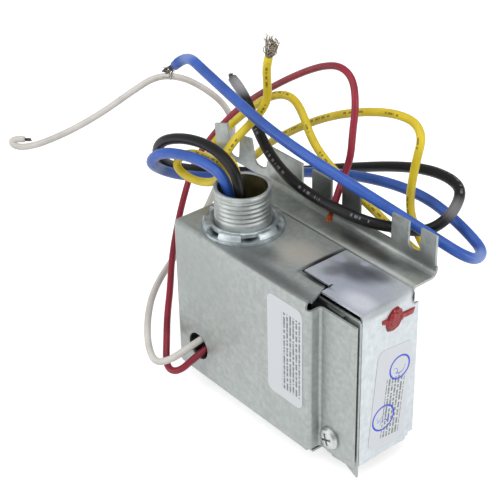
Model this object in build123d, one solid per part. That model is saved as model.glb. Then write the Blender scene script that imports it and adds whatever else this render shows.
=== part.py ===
"""Nipple-mounted electric heat relay with lead wires, in millimetres.

The origin is the centre of the conduit nipple in the plane of the cover's top,
+X runs along the housing towards the relay, +Y towards the mounting flange, +Z up the nipple.
"""

from build123d import *
import math
import os

os.makedirs("parts", exist_ok=True)

# ---------------------------------------------------------------- housing sheet
sheet = 0.9              # gauge of the cover and of the relay frame
bend = 2.0               # outer radius of the pressed corners
can_left = 21.2          # nipple axis to the left wall
can_right = 54.8         # nipple axis to the end of the deep part
can_front = 16.8         # nipple axis to the front wall
can_back = 16.8          # nipple axis to the open back
can_height = 65.0
flange_return = 5.3      # step from the front wall back to the screw flange
flange_reach = 17.4      # length of the screw flange beyond the deep part
flange_drop = 3.2        # open slot above the screw flange
flange_rise = 1.7        # screw flange bottom above the cover's bottom
seam_x = 36.9            # left edge of the cut-out that clears the relay frame
seam_y = -4.6            # front edge of that cut-out
seam_end_x = 50.0
wire_hole_x = -8.4
wire_hole_z = -51.3
wire_hole_radius = 5.55

# ---------------------------------------------------------------- rear bracket
plate = 1.0              # gauge of the bracket
back_gap = 0.2           # cover edges to the bracket's rear wall
bracket_right = 70.1
ledge_depth = 12.2       # rear wall's inner face to the flange's mounting face
flange_tip = 15.3        # height of the slotted flange above the cover's top
wing_reach = 51.0        # nipple axis to the left end of the flange
wing_foot = 0.5          # lower edge of the free wing
flange_bend = 3.2        # outer radius of the bend from the ledge into the flange
# open screw slots: centre, floor, width at the floor, width at the mouth
screw_slots = {
    "far_wing": (-39.6, 2.2, 6.0, 8.1),
    "near_wing": (-23.6, 4.2, 6.4, 12.8),
    "centre_left": (3.4, 4.5, 5.6, 5.6),
    "centre_right": (19.5, 4.5, 6.0, 6.0),
    "wide": (39.9, 4.3, 16.2, 16.2),
    "right": (59.2, 5.0, 6.0, 6.0),
}
slot_corner = 1.0

# ---------------------------------------------------------------- nipple and locknut
nipple_radius = 10.65    # half-inch conduit thread, outside
nipple_bore = 9.2
nipple_height = 16.7
nipple_collar = 2.2      # width of the rolled collar under the cover
nipple_chamfer = 0.6
thread_clearance = 0.08
nut_radius = 15.4
nut_ring = 1.2           # base ring
nut_height = 3.8
nut_waist = 12.8         # recessed tongues between the lugs
nut_slot = 0.8           # slot under each tongue
nut_lugs = 6
nut_lug_angle = 34.0
nut_seat = 0.05          # nut to the cover's top at rest

# ---------------------------------------------------------------- relay frame
frame_end = 72.0         # nipple axis to the outer face of the relay's end
frame_front = -8.3
frame_back = 16.2
frame_rise = 0.3         # relay frame's top above the cover's top
frame_lift = 0.6         # relay frame's foot above the cover's bottom
frame_foot = frame_lift - can_height
frame_bend = 1.6
seam_gap = 0.9
notch_x = 51.6           # left edge of the narrow front part of the top
strip_back = 18.4        # edge strip that covers the bracket's end
strip_top = -5.6
strip_lift = 3.1
strip_foot = strip_lift - can_height
front_gap = 0.2          # relay frame to the front plate
front_plate_left = 47.5
front_plate_top = -1.6
front_plate_drop = 1.3   # front plate below the cover's bottom
front_plate_foot = -can_height - front_plate_drop
front_plate_tip = front_plate_foot - 2.8
inner_foot = 1.4 - can_height

# ---------------------------------------------------------------- fasteners and labels
screw_x = 60.5
screw_lift = 8.6
screw_z = screw_lift - can_height
screw_radius = 1.75
screw_head_radius = 4.4
screw_head_height = 2.3
screw_length = 6.0
screw_clearance = 0.05
screw_hole_clearance = 0.45
adjuster_y = 7.0
adjuster_z = -8.0
adjuster_radius = 1.6
adjuster_head = 0.5
adjuster_clearance = 0.08
varnish_thickness = 1.2
label_thickness = 0.15
label_corner = 3.0
front_label_size = (18.5, 42.0)
front_label_centre = (42.25, -26.0)
end_label_size = (14.4, 41.5)
end_label_centre = (4.8, -40.2)
end_label_tilt = -5.5    # the label is stuck on a little askew

# ---------------------------------------------------------------- transformer
core_x = 15.0
core_z = -39.0
core_width = 32.0
core_stack = 14.0
core_depth = 19.5
core_limb = 10.0
core_back_gap = 0.5      # core to the bracket's rear wall
lamination_gap = 0.3     # bobbin to the core
bobbin_wall = 0.8
coil_overhang = 6.0
coil_split = 0.55        # share of the coil's depth that the primary takes
strap = 0.9
strap_foot = 5.0
strap_height = 12.0
fit = 0.2                # easy fit between pressed or moulded pieces

# ---------------------------------------------------------------- relay mechanism
base_x = 42.0
base_wall = 4.0
base_shelf = 1.5
base_lift = 1.5
base_foot = base_lift - can_height
base_top = -5.0
base_edge = 0.5          # base to the walls beside it
blade_x = 55.0
blade_block_height = 12.0
blade_pivot_z = base_foot + base_shelf + blade_block_height
blade_top = -15.0
blade_width = 5.0
blade_thickness = 0.4
bimetal_spacing = 7.0    # contact blade to the bimetal strip
bimetal_x = blade_x + bimetal_spacing
bimetal_block_height = 6.0
bimetal_pivot_z = base_foot + base_shelf + bimetal_block_height
bimetal_top = -6.0
bimetal_width = 8.0
bimetal_thickness = 0.6
root_gap = 0.3           # moving strips to the blocks that carry them
pusher_z = -24.0
pusher_radius = 1.4
pusher_gap = 0.3
mechanism_y = 4.5
contact_z = -18.0
contact_radius = 2.0
contact_thickness = 1.2
contact_travel = 3.2     # open gap between the contacts
heater_length = 18.0
heater_wall = 0.8

# ---------------------------------------------------------------- leads
heavy_lead = 4.1
medium_lead = 3.2
light_lead = 2.7
# diameter of the bare strands' bundle at the end of each size of lead
cores = {heavy_lead: 2.1, medium_lead: 1.7, light_lead: 1.2}
lead_sides = 6           # the tubes are prisms of the round lead's section area


def prism_radius(radius):
    """Corner radius of the polygon with the same area as a circle."""
    part = 2 * math.pi / lead_sides
    return radius * math.sqrt(part / math.sin(part))


def box(x0, x1, y0, y1, z0, z1):
    return Pos((x0 + x1) / 2, (y0 + y1) / 2, (z0 + z1) / 2) * Box(x1 - x0, y1 - y0, z1 - z0)


def slab_xz(points, y0, y1):
    """Sheet with its outline in the XZ plane, between two depths."""
    face = make_face(Polyline(*[(x, 0, z) for x, z in points], close=True))
    return Pos(0, y0, 0) * extrude(face, amount=y1 - y0, dir=(0, 1, 0))


def slab_xy(points, z0, z1):
    face = make_face(Polyline(*[(x, y, 0) for x, y in points], close=True))
    return Pos(0, 0, z0) * extrude(face, amount=z1 - z0, dir=(0, 0, 1))


def along_z(shape, x, y):
    """Edges parallel to Z that pass through a point."""
    return [
        e for e in shape.edges().filter_by(Axis.Z)
        if math.hypot(e.center().X - x, e.center().Y - y) < 0.05
    ]


def save(shape, node):
    solids = shape.solids()
    shape = solids[0] if len(solids) == 1 else Compound(children=list(solids))
    shape.label = node
    export_step(shape, "parts/" + node + ".step")
    print(f"{node:22s} solids {len(solids)}  volume {sum(s.volume for s in solids):9.2f}")
    return shape


# ================================================================ cover
front_y = -can_front
flange_y = front_y + flange_return
flange_end = can_right + flange_reach


def pressed_corner(gauge):
    """Block with the cover's rounded left, front, top and bottom corners, set in by a gauge."""
    block = box(-can_left + gauge, can_right + 20, front_y + gauge, can_back + 20,
                -can_height + gauge, -gauge)
    radius = bend - gauge
    left = block.edges().filter_by(Axis.Y).sort_by(Axis.X)[:2]
    front = block.edges().filter_by(Axis.X).sort_by(Axis.Y)[:2]
    upright = block.edges().filter_by(Axis.Z).sort_by(lambda e: e.center().X + e.center().Y)[:1]
    return fillet(left + front + upright, radius)


def make_cover():
    shell = pressed_corner(0) - pressed_corner(sheet)
    deep = shell & box(-can_left - 1, can_right, front_y - 1, can_back, -can_height - 1, 1)
    # the front wall stops at the return bend, the top stops at the relay frame
    deep -= box(can_right - bend, can_right + 1, front_y - 1, front_y + bend,
                -can_height - 1, 1)
    opening = [
        (seam_x, can_back + 1),
        (seam_x, seam_y),
        (seam_end_x, seam_y - 0.4),
        (can_right - 0.5, front_y + 1),
        (can_right + 1, front_y - 1),
        (can_right + 1, can_back + 1),
    ]
    deep -= slab_xy(opening, -sheet - 0.01, 1)
    outline = [
        (can_right - bend, front_y),
        (can_right, front_y),
        (can_right, flange_y),
        (flange_end, flange_y),
        (flange_end, flange_y + sheet),
        (can_right - sheet, flange_y + sheet),
        (can_right - sheet, front_y + sheet),
        (can_right - bend, front_y + sheet),
    ]
    wing = slab_xy(outline, -can_height + flange_rise, -flange_drop)
    inner_radius = bend - sheet
    wing = fillet(along_z(wing, can_right, flange_y), inner_radius)
    wing = fillet(along_z(wing, can_right - sheet, flange_y + sheet), bend)
    wing = fillet(along_z(wing, can_right - sheet, front_y + sheet), inner_radius * 0.9)
    wing = fillet(along_z(wing, can_right, front_y), bend * 0.95)
    cover = deep + wing
    cover -= Cylinder(nipple_radius + fit / 2, 6)
    cover -= Pos(wire_hole_x, front_y, wire_hole_z) * Rot(90, 0, 0) * Cylinder(wire_hole_radius, 6)
    cover -= (Pos(screw_x, flange_y, screw_z) * Rot(90, 0, 0)
              * Cylinder(screw_radius + screw_hole_clearance, 4))
    return cover


# ================================================================ rear bracket
wall_y = can_back + back_gap
mount_y = wall_y + ledge_depth


def screw_slot(centre, floor, narrow, wide):
    """Cutter for an open slot that may flare towards its mouth."""
    mouth = flange_tip + 2
    outline = [
        (centre - narrow / 2, floor),
        (centre + narrow / 2, floor),
        (centre + wide / 2, mouth),
        (centre - wide / 2, mouth),
    ]
    cutter = slab_xz(outline, mount_y - plate - 1, mount_y + 1)
    radius = slot_corner if narrow > 10 else narrow * 0.42
    low = cutter.edges().filter_by(Axis.Y).sort_by(Axis.Z)[:2]
    return fillet(low, radius)


def make_bracket():
    profile = Polyline(
        (0, wall_y, -can_height),
        (0, wall_y, 0),
        (0, mount_y - plate, 0),
        (0, mount_y - plate, flange_bend),
        (0, mount_y, flange_bend),
        (0, mount_y, -plate),
        (0, wall_y + plate, -plate),
        (0, wall_y + plate, -can_height),
        close=True,
    )
    rail = Pos(-can_left, 0, 0) * extrude(make_face(profile), amount=bracket_right + can_left,
                                          dir=(1, 0, 0))

    def corner(y, z):
        return [
            e for e in rail.edges().filter_by(Axis.X)
            if math.hypot(e.center().Y - y, e.center().Z - z) < 0.05
        ]

    rail = fillet(corner(wall_y, 0), bend)
    rail = fillet(corner(wall_y + plate, -plate), bend - plate)
    rail = fillet(corner(mount_y - plate, 0), flange_bend - plate)
    rail = fillet(corner(mount_y, -plate), flange_bend)
    blank = slab_xz(
        [
            (-wing_reach + 0.7, wing_foot),
            (-wing_reach - 0.6, flange_tip - 2.8),
            (-wing_reach + 7.3, flange_tip),
            (-wing_reach + 15.4, flange_tip - 2.2),
            (-wing_reach + 21.8, flange_tip - 1.0),
            (-wing_reach + 31.0, flange_tip),
            (bracket_right - 0.6, flange_tip),
            (bracket_right - 0.6, flange_bend - plate / 2),
            (-can_left, flange_bend - plate / 2),
            (-can_left, wing_foot),
        ],
        mount_y - plate, mount_y,
    )
    bracket = rail + blank
    for centre, floor, narrow, wide in screw_slots.values():
        bracket -= screw_slot(centre, floor, narrow, wide)
    return bracket


# ================================================================ nipple and locknut
def make_nipple():
    foot = -sheet - fit / 2
    wall = [
        (nipple_bore, foot - sheet),
        (nipple_radius + nipple_collar, foot - sheet),
        (nipple_radius + nipple_collar, foot),
        (nipple_radius, foot),
        (nipple_radius, nipple_height - nipple_chamfer),
        (nipple_radius - nipple_chamfer, nipple_height),
        (nipple_bore + nipple_chamfer * 0.7, nipple_height),
        (nipple_bore, nipple_height - nipple_chamfer * 0.7),
    ]
    face = make_face(Polyline(*[(r, 0, z) for r, z in wall], close=True))
    return revolve(face, Axis.Z)


def make_locknut():
    bore = nipple_radius + thread_clearance
    z0 = nut_seat
    neck = nut_waist - 1.0
    tongue_z = nut_ring + nut_slot
    dish = nut_height - 1.2
    profile = [
        (bore, z0),
        (nut_radius, z0),
        (nut_radius, nut_ring),
        (neck, nut_ring),
        (neck, tongue_z),
        (nut_waist, tongue_z),
        (nut_waist, nut_height - 0.4),
        (nut_waist - 0.5, nut_height),
        (bore, dish),
    ]
    nut = revolve(make_face(Polyline(*[(r, 0, z) for r, z in profile], close=True)), Axis.Z)
    lug_profile = [
        (nut_waist - 1.2, nut_ring - 0.2),
        (nut_radius - 0.3, nut_ring - 0.2),
        (nut_radius - 0.1, nut_ring + 0.6),
        (nut_radius - 0.6, nut_height - 0.7),
        (nut_radius - 1.2, nut_height),
        (nut_waist - 1.2, nut_height - 0.3),
    ]
    lug_face = make_face(Polyline(*[(r, 0, z) for r, z in lug_profile], close=True))
    lug = revolve(lug_face, Axis.Z, nut_lug_angle)
    lug = Rot(0, 0, -nut_lug_angle / 2) * lug
    for i in range(nut_lugs):
        nut += Rot(0, 0, i * 360 / nut_lugs) * lug
    return nut


# ================================================================ relay frame
front_plate_y = frame_front - front_gap - sheet


def make_relay_housing():
    top = frame_rise
    left = seam_x + seam_gap
    profile = Polyline(
        (left, 0, top),
        (frame_end, 0, top),
        (frame_end, 0, frame_foot),
        (frame_end - sheet, 0, frame_foot),
        (frame_end - sheet, 0, top - sheet),
        (left, 0, top - sheet),
        close=True,
    )
    shell = Pos(0, frame_front, 0) * extrude(make_face(profile), amount=frame_back - frame_front,
                                             dir=(0, 1, 0))

    def corner(x, z):
        return [
            e for e in shell.edges().filter_by(Axis.Y)
            if math.hypot(e.center().X - x, e.center().Z - z) < 0.05
        ]

    shell = fillet(corner(frame_end, top), frame_bend)
    shell = fillet(corner(frame_end - sheet, top - sheet), frame_bend - sheet)
    # the top is narrower in front of the cover's seam, with a relief slit at the corner
    step_y = seam_y + seam_gap
    shell -= box(left - 1, notch_x, frame_front - 1, step_y, top - 2 * sheet, top + 1)
    shell -= box(notch_x - 1.3, notch_x - 0.1, step_y - 1, step_y + 1.3, top - 2 * sheet, top + 1)
    shell -= box(frame_end - 1.5 * sheet, frame_end + 1, frame_back - 1.4, frame_back + 1,
                 frame_foot - 1, frame_foot + 1.1)
    strip = box(frame_end - sheet, frame_end, frame_back - 0.5, strip_back, strip_foot, strip_top)
    shell += strip
    shell -= (Pos(frame_end, adjuster_y, adjuster_z) * Rot(0, 90, 0)
              * Cylinder(adjuster_radius + adjuster_clearance, 4))
    return shell


def make_front_plate():
    outline = [
        (front_plate_left, front_plate_top),
        (frame_end - 1.0, front_plate_top),
        (frame_end, front_plate_top - 1.0),
        (frame_end, front_plate_tip),
        (frame_end - 5.5, front_plate_foot),
        (can_right + 1.7, front_plate_foot),
        (can_right + 1.7, inner_foot),
        (front_plate_left, inner_foot),
    ]
    panel = slab_xz(outline, front_plate_y, front_plate_y + sheet)
    # lanced tabs: one stands in the slot over the screw flange, one just under it
    upper = slab_xz(
        [
            (can_right + 1.4, front_plate_top - 0.6),
            (can_right + 10.0, front_plate_top - 1.0),
            (can_right + 7.5, front_plate_top - 4.2),
        ],
        front_plate_y - 0.7, front_plate_y + 0.1,
    )
    lower = slab_xz(
        [
            (can_right + 4.2, front_plate_foot + 1.8),
            (can_right + 11.5, front_plate_foot + 1.0),
            (can_right + 5.4, front_plate_foot + 0.2),
        ],
        front_plate_y - 0.7, front_plate_y + 0.1,
    )
    panel += upper
    panel += lower
    panel -= (Pos(screw_x, front_plate_y, screw_z) * Rot(90, 0, 0)
              * Cylinder(screw_radius + screw_clearance, 4))
    return panel


# ================================================================ screws, varnish, labels
def make_cover_screw():
    """Pan head on the screw flange, cross recess, shank through the relay's front plate."""
    seat = flange_y - 0.05
    head = [
        (0, 0),
        (screw_head_radius, 0),
        (screw_head_radius, screw_head_height * 0.35),
        (screw_head_radius * 0.82, screw_head_height * 0.8),
        (screw_head_radius * 0.45, screw_head_height),
        (0, screw_head_height),
    ]
    cap = revolve(make_face(Polyline(*[(r, 0, z) for r, z in head], close=True)), Axis.Z)
    arm = screw_head_radius * 1.15
    slot = screw_head_radius * 0.22
    deep = screw_head_height * 0.55
    for turn in (20, 110):
        cap -= Pos(0, 0, screw_head_height) * Rot(0, 0, turn) * Box(arm, slot, 2 * deep)
    shank = Pos(0, 0, -screw_length / 2) * Cylinder(screw_radius, screw_length)
    shank = chamfer(shank.edges().sort_by(Axis.Z)[0], screw_radius * 0.35)
    return Pos(screw_x, seat, screw_z) * Rot(90, 0, 0) * (cap + shank)


adjuster_tip = bimetal_x + bimetal_thickness / 2 + pusher_gap


def make_adjuster():
    length = frame_end + adjuster_head - adjuster_tip
    body = Pos(adjuster_tip + length / 2, adjuster_y, adjuster_z) * Rot(0, 90, 0) * Cylinder(
        adjuster_radius, length)
    slot = box(frame_end, frame_end + 1, adjuster_y - 0.3, adjuster_y + 0.3,
               adjuster_z - 3, adjuster_z + 3)
    return body - slot


def make_varnish():
    """Sealing blob over the adjusting screw, with the tail of the brush stroke."""
    face = Plane(origin=(frame_end, adjuster_y + 0.8, adjuster_z), x_dir=(0, 1, 0),
                 z_dir=(1, 0, 0))
    blob = extrude(face * Ellipse(4.3, 3.9), amount=varnish_thickness)
    blob = chamfer(blob.faces().sort_by(Axis.X)[-1].edges(), varnish_thickness * 0.5)
    # the brush left a tail on each side: offset, turn, length and width
    for along, down, turn, length, width in ((5.2, -0.9, -8, 9.6, 2.6), (-4.4, -1.2, 20, 4.4, 1.7)):
        tail = face * Pos(along, down, 0) * Rot(0, 0, turn) * extrude(
            SlotOverall(length, width), amount=varnish_thickness * 0.5)
        blob += tail
    pocket = Pos(frame_end, adjuster_y, adjuster_z) * Rot(0, 90, 0) * Cylinder(
        adjuster_radius + adjuster_clearance, 2 * (adjuster_head + adjuster_clearance))
    return blob - pocket


def make_front_label():
    face = Plane(origin=(front_label_centre[0], front_y, front_label_centre[1]),
                 x_dir=(1, 0, 0), z_dir=(0, -1, 0))
    return extrude(face * RectangleRounded(*front_label_size, label_corner),
                   amount=label_thickness)


def make_end_label():
    face = Plane(origin=(frame_end, end_label_centre[0], end_label_centre[1]),
                 x_dir=(0, 1, 0), z_dir=(1, 0, 0))
    return extrude(face * Rot(0, 0, end_label_tilt) * RectangleRounded(*end_label_size, label_corner),
                   amount=label_thickness)


# ================================================================ transformer
core_back = wall_y - core_back_gap
core_front = core_back - core_depth
core_side = core_limb / 2
window = (core_width - 2 * core_limb) / 2
limb_y0 = core_front + core_side
limb_y1 = core_back - core_side


def make_core():
    """Laminated E and I stack, its centre limb along Y."""
    block = box(core_x - core_width / 2, core_x + core_width / 2, core_front, core_back,
                core_z - core_stack / 2, core_z + core_stack / 2)
    for side in (-1, 1):
        x = core_x + side * (core_limb / 2 + window / 2)
        block -= box(x - window / 2, x + window / 2, limb_y0, limb_y1,
                     core_z - core_stack, core_z + core_stack)
    joint = box(core_x - core_width / 2 - 1, core_x + core_width / 2 + 1,
                limb_y1 - 0.05, limb_y1 + 0.05,
                core_z + core_stack / 2 - 0.3, core_z + core_stack / 2 + 1)
    return block - joint


def coil_ring(y0, y1, inner, outer):
    """Rectangular ring round the centre limb, between two offsets from the limb."""
    hx, hz = core_limb / 2, core_stack / 2
    ring = box(core_x - hx - outer[0], core_x + hx + outer[0], y0, y1,
               core_z - hz - outer[1], core_z + hz + outer[1])
    hole = box(core_x - hx - inner[0], core_x + hx + inner[0], y0 - 1, y1 + 1,
               core_z - hz - inner[1], core_z + hz + inner[1])
    return ring, hole


bobbin_y0 = limb_y0 + lamination_gap
bobbin_y1 = limb_y1 - lamination_gap
tube_inner = (lamination_gap, lamination_gap)
tube_outer = (lamination_gap + bobbin_wall, lamination_gap + bobbin_wall)
cheek_outer = (window - lamination_gap, coil_overhang + lamination_gap)
coil_outer = (window - 2 * lamination_gap, coil_overhang - lamination_gap)
coil_y0 = bobbin_y0 + bobbin_wall
coil_y1 = bobbin_y1 - bobbin_wall
coil_middle = coil_y0 + (coil_y1 - coil_y0) * coil_split


def make_bobbin():
    """Moulded bobbin: a tube with a cheek at each end and one between the windings."""
    ring, hole = coil_ring(bobbin_y0, bobbin_y1, tube_inner, tube_outer)
    body = ring
    for y in (bobbin_y0, coil_middle - bobbin_wall / 2, bobbin_y1 - bobbin_wall):
        cheek, unused = coil_ring(y, y + bobbin_wall, tube_inner, cheek_outer)
        body += cheek
    return body - hole


def make_winding(y0, y1):
    ring, unused = coil_ring(y0, y1, tube_outer, coil_outer)
    across = ring.edges().filter_by(Axis.Y)
    ring = fillet(across, coil_outer[0] * 0.3)
    clear = (tube_outer[0] + 0.05, tube_outer[1] + 0.05)
    unused, hole = coil_ring(y0, y1, clear, coil_outer)
    return ring - hole


def make_strap():
    """Channel over the core with feet on the bracket's rear wall."""
    x0 = core_x - core_width / 2 - fit
    x1 = core_x + core_width / 2 + fit
    y0 = core_front - fit
    y1 = wall_y - fit / 2
    z0, z1 = core_z - strap_height / 2, core_z + strap_height / 2
    web = box(x0 - strap, x1 + strap, y0 - strap, y0, z0, z1)
    left = box(x0 - strap, x0, y0 - strap, y1, z0, z1)
    right = box(x1, x1 + strap, y0 - strap, y1, z0, z1)
    left_foot = box(x0 - strap - strap_foot, x0, y1 - strap, y1, z0, z1)
    right_foot = box(x1, x1 + strap + strap_foot, y1 - strap, y1, z0, z1)
    return web + left + right + left_foot + right_foot


# ================================================================ relay mechanism
base_y0 = frame_front + fit
base_y1 = wall_y - base_edge
base_x1 = base_x + base_wall
shelf_end = frame_end - sheet - base_edge
shelf_top = base_foot + base_shelf


def make_relay_base():
    """Moulded base: an upright with two ribs and a shelf for the strip blocks."""
    upright = box(base_x, base_x1, base_y0, base_y1, base_foot, base_top)
    shelf = box(base_x, shelf_end, base_y0, base_y1, base_foot, shelf_top)
    body = upright + shelf
    for y in (base_y0, base_y1 - base_shelf):
        rib = slab_xz([(base_x1 - 0.5, shelf_top - 0.5), (base_x1 + 6, shelf_top - 0.5),
                       (base_x1 - 0.5, shelf_top + 14)], y, y + base_shelf)
        body += rib
    return body


contact_face = blade_x - blade_thickness / 2 - contact_thickness
fixed_face = contact_face - contact_travel


def make_fixed_contact():
    strip = box(base_x1, base_x1 + 1, mechanism_y - 3, mechanism_y + 3,
                contact_z - 8, contact_z + 6)
    stem = Pos((base_x1 + fixed_face) / 2, mechanism_y, contact_z) * Rot(0, 90, 0) * Cylinder(
        contact_radius, fixed_face - base_x1)
    return strip + stem


def make_block(x, pivot_z, half, width):
    return box(x - half, x + half, mechanism_y - width / 2 - 1, mechanism_y + width / 2 + 1,
               shelf_top, pivot_z)


def make_blade():
    return box(blade_x - blade_thickness / 2, blade_x + blade_thickness / 2,
               mechanism_y - blade_width / 2, mechanism_y + blade_width / 2,
               blade_pivot_z + root_gap, blade_top)


def make_moving_contact():
    return Pos(contact_face + contact_thickness / 2, mechanism_y, contact_z) * Rot(
        0, 90, 0) * Cylinder(contact_radius, contact_thickness)


def make_bimetal():
    return box(bimetal_x - bimetal_thickness / 2, bimetal_x + bimetal_thickness / 2,
               mechanism_y - bimetal_width / 2, mechanism_y + bimetal_width / 2,
               bimetal_pivot_z + root_gap, bimetal_top)


def make_heater():
    """Heater card wrapped round the bimetal above its block."""
    half_x = bimetal_thickness / 2 + heater_wall
    half_y = bimetal_width / 2 + heater_wall
    z0 = bimetal_pivot_z + 5
    card = box(bimetal_x - half_x, bimetal_x + half_x, mechanism_y - half_y,
               mechanism_y + half_y, z0, z0 + heater_length)
    card = fillet(card.edges().filter_by(Axis.Z), heater_wall * 0.8)
    slot = box(bimetal_x - bimetal_thickness / 2 - 0.05, bimetal_x + bimetal_thickness / 2 + 0.05,
               mechanism_y - bimetal_width / 2 - 0.05, mechanism_y + bimetal_width / 2 + 0.05,
               z0 - 1, z0 + heater_length + 1)
    return card - slot


def make_pusher():
    """Ceramic pin on the bimetal that reaches the contact blade."""
    x0 = blade_x + blade_thickness / 2 + pusher_gap
    x1 = bimetal_x - bimetal_thickness / 2
    return Pos((x0 + x1) / 2, mechanism_y, pusher_z) * Rot(0, 90, 0) * Cylinder(
        pusher_radius, x1 - x0)


# ================================================================ leads
leads = {
    "blue_lead": (heavy_lead, [
        (40.9, -3.4, -20), (30, -3.6, -20.6), (17, -3.6, -20.8), (5, -3.5, -18.5),
        (-2, -3.5, -11), (-3.6, -3.5, 0), (-3.2, -3.6, 11), (-5.8, -4.7, 20.1),
        (-14.6, -5, 21.8), (-25.4, -5.9, 21), (-39.9, -7.2, 17), (-48.4, -7.1, 8.7),
        (-50.5, 2.5, 0.4), (-52.9, 15.9, -7.6), (-49.7, 31.7, -12.6), (-41.1, 44.1, -12.5),
        (-26.8, 50, -7.4), (-10.1, 51.9, -1.6), (7.8, 53, 3.8), (24.1, 54.9, 6.3), (38, 56.6, 6),
        (49.8, 56.2, 4.1), (59.2, 55.7, 1.4), (69, 53.8, -1.3), (71.6, 47.7, -1.3),
        (69.2, 42.3, 1.9), (60.5, 39, 5.5), (46.4, 34.5, 10.8), (30.6, 24.8, 20.6),
        (9.8, 19.1, 27.4), (-10.6, 18.5, 31.1), (-31.6, 19.7, 35.7), (-46.9, 20, 39.8),
        (-58.6, 21, 42.2), (-63.4, 18.6, 36.2),
    ]),
    "black_lead": (heavy_lead, [
        (40.9, -3, -14), (30, -3.2, -14.6), (18, -3, -14.6), (8.5, -3, -11.5), (3, -3, -4),
        (2.5, -3, 4), (3, -3, 12), (0.2, -2.6, 22), (-8.6, -2.2, 26.7), (-20.3, -1.6, 26.7),
        (-34.4, -1.6, 23.3), (-45.9, -2.7, 17.7), (-52, -0.6, 8.4), (-56.4, 8.4, -1.5),
        (-59.7, 23.6, -10.3), (-58.3, 38.6, -15.7), (-51.9, 50, -17.8), (-41.3, 57.3, -15.9),
        (-25.2, 60.9, -9.6), (-5.7, 61.7, -0.9), (13.9, 62.3, 7.5), (29.9, 62.9, 12.8),
        (43.6, 61.6, 15.4), (52.6, 59, 14.8), (56.7, 51.2, 11.3), (55.4, 45.2, 6.8),
        (51, 40.4, 3.8), (45.8, 32.7, 6.4), (40.3, 25.1, 8.9), (28.9, 20.7, 11),
        (14.6, 19.1, 12), (0.3, 20.1, 13.8), (-13.7, 23.3, 17.3), (-27.2, 28, 23.7),
        (-37, 32.3, 28.8), (-45.6, 33.2, 32.7),
    ]),
    "yellow_lead": (medium_lead, [
        (40.9, 3, -14), (30, 3.3, -14.8), (16, 2.4, -14.6), (5, 1.6, -13), (-2, 1.6, -8.5),
        (-5.3, 1, -1.5), (-5.6, 0.8, 5.5), (-5.8, 0.6, 12), (-6.4, 0.6, 18.2), (-13, 0.5, 20.6),
        (-22, 2.1, 17.4), (-29.7, 2, 17.5), (-37.9, 1, 13.5), (-39.9, -0.4, 8.9),
        (-37, 1.3, 5.1), (-29.9, 3.4, 4), (-18.1, 3.4, 9.2), (-16.5, 3.2, 18.4),
        (-19.6, 12.6, 23.2), (-19.4, 23, 28.7), (-16.6, 26.6, 35.6), (-14.4, 24.4, 45.7),
        (-12.4, 22.5, 52.5), (-10.4, 22.1, 57.3),
    ]),
    "yellow_arch_lead": (medium_lead, [
        (40.9, 3.4, -20), (30, 3.7, -20.8), (17.5, 5, -20.9), (6, 7.5, -18), (-1, 8, -11),
        (-2.2, 6.5, -3), (-2.2, 4.9, 4.5), (-2.6, 4.6, 12), (-5.2, 4.7, 18.7), (-13.4, 7.4, 19),
        (-26.3, 13.5, 10.7), (-35.2, 16.2, 8.5), (-47.2, 21, 1.9), (-55.4, 27.9, 0),
        (-55.8, 38.9, 6), (-49.2, 41, 13.1), (-38.3, 41.9, 23.1), (-28.6, 42.8, 29.1),
        (-19.7, 42.2, 30.6), (-12.4, 40.3, 27.2), (-6.9, 38.9, 20.9), (0.8, 37, 17),
        (10.9, 36, 13), (23.3, 34.9, 9.7), (35.2, 34.7, 6.2), (44.8, 36.7, 0),
        (50.1, 40.8, -6.1), (47.6, 47.7, -9.2), (40.7, 49.3, -4.9), (38.1, 48.1, 3),
        (37.8, 47.7, 10.3), (39.9, 46.6, 19.8), (41.8, 46.3, 28.5), (43.2, 46.9, 36.8),
        (36.8, 49.5, 39.7), (25.6, 49.7, 38.7), (11.5, 50, 33.9), (-4.7, 50.7, 26.3),
        (-19.2, 50.5, 17.7), (-33.9, 49.9, 7), (-45.1, 49.8, -1.9), (-51.7, 48.9, -9.8),
    ]),
    "red_lead": (light_lead, [
        (3.5, 2.5, -51.5), (0.5, -2.5, -51), (-3.5, -7.5, -50.5), (-5, -13, -51),
        (-5.5, -21, -54), (-8, -27.5, -58.5), (-13.5, -29, -58.5), (-20, -23.5, -52.5),
        (-29, -16, -47.5), (-38, -7.5, -44), (-49, 2, -38), (-60, 14, -31), (-69, 25, -25),
        (-73.3, 34.1, -15), (-71.3, 41.4, -6.2), (-66.1, 44.5, 1.7), (-58.2, 46.3, 10.7),
        (-47, 47.1, 20.3), (-33, 46.7, 30.9), (-18.7, 45.9, 40.6), (-5.2, 44.1, 48.5),
        (5.6, 42.6, 52.5), (13.6, 41.2, 50.6), (18.5, 38, 43.1), (19.8, 35.4, 33.3),
        (20.4, 34.1, 23.8), (18.5, 32.2, 15), (22, 25.4, 10), (23.4, 22.2, 6.9),
    ]),
    "white_lead": (light_lead, [
        (3.5, 0.5, -47.8), (-0.5, -3.6, -47.4), (-5, -8, -47), (-7, -13, -47), (-7.5, -22, -49),
        (-9, -30, -52), (-14, -34, -54), (-22, -31, -51), (-30, -25, -47), (-39, -16, -44),
        (-49, -3, -44), (-56, 12, -41), (-60, 26, -35), (-64, 38, -25), (-67, 48, -13),
        (-69, 52, -2), (-71.5, 49, 7), (-75.5, 42, 15), (-80, 34, 21), (-85, 25, 22.5),
        (-89, 15, 17), (-95, 4, 9), (-102, -7, 2), (-109, -17, -3), (-113.6, -22.8, -4.8),
        (-117, -26.2, -3.6), (-118.6, -26.2, -0.6), (-116.9, -23.3, 0.6), (-114.6, -21, 0.2),
    ]),
}
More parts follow.
